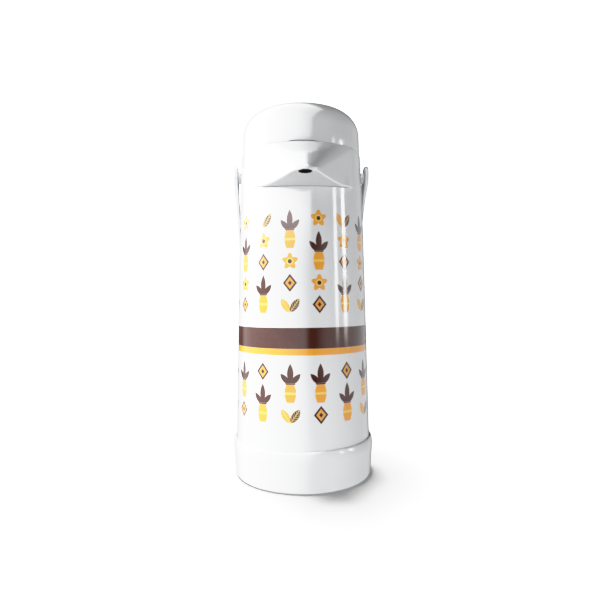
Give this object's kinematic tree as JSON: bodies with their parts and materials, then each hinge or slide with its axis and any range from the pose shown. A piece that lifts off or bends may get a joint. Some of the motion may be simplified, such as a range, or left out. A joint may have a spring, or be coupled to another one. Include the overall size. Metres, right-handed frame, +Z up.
{
  "type": "pump pot",
  "caption": "Tall glass-lined vacuum jug with a press-down air pump in its domed hinged lid, a beak spout at the front and a swinging carry handle.",
  "frame": {"origin": "centre of the standing face, on the table under the pot's axis", "axes": "+Z up along the pot's axis, the beak points to -Y, the carry handle hangs behind on the +Y side, +X to the right seen from the front"},
  "size_m": [0.1326, 0.1682, 0.345],
  "materials": {
    "white_plastic": "gloss",
    "grey_plastic": "satin",
    "dark_plastic": "satin",
    "inner_plastic": "satin",
    "tube_plastic": "translucent",
    "silvered_glass": "silvered",
    "rubber": "matte",
    "bellows_rubber": "matte",
    "felt": "felt",
    "steel": "brushed"
  },
  "bodies": {
    "case": {"body_shell": "white_plastic", "beak_floor": "grey_plastic", "spout_nozzle": "dark_plastic", "base_cup": "white_plastic", "flask_pad": "rubber", "flask_outer": "silvered_glass", "flask_inner": "silvered_glass", "flask_spacers": "felt", "neck_gasket": "rubber", "neck_deck": "inner_plastic", "deck_screws": "steel", "stopper_gasket": "rubber", "pump_stopper": "inner_plastic", "siphon_tube": "tube_plastic", "delivery_tube": "tube_plastic", "hinge_pin": "steel", "handle_pins": "white_plastic"},
    "lid": {"lid_shell": "white_plastic", "lid_plate": "inner_plastic", "plate_screws": "steel", "lid_gasket": "rubber", "lid_catch": "inner_plastic", "check_valve": "rubber", "bellows": "bellows_rubber", "return_spring": "steel"},
    "button": {"push_button": "white_plastic", "bellows_cap": "inner_plastic", "intake_valve": "rubber"},
    "handle": {"carry_handle": "white_plastic"}
  },
  "joints": [
    {"name": "lid_hinge", "type": "hinge", "parent": "case", "child": "lid", "pos_m": [0, 0.06151, 0.302], "axis": [-1, 0, 0], "range_deg": [0, 95]},
    {"name": "button_slide", "type": "slide", "parent": "lid", "child": "button", "axis": [0, 0, -1], "range_m": [0, 0.02], "stiffness_N_per_m": 600, "springref_m": -0.02, "deforming": ["bellows", "return_spring"]},
    {"name": "handle_swing", "type": "hinge", "parent": "case", "child": "handle", "pos_m": [0, 0, 0.2816], "axis": [1, 0, 0], "range_deg": [0, 273]}
  ]
}
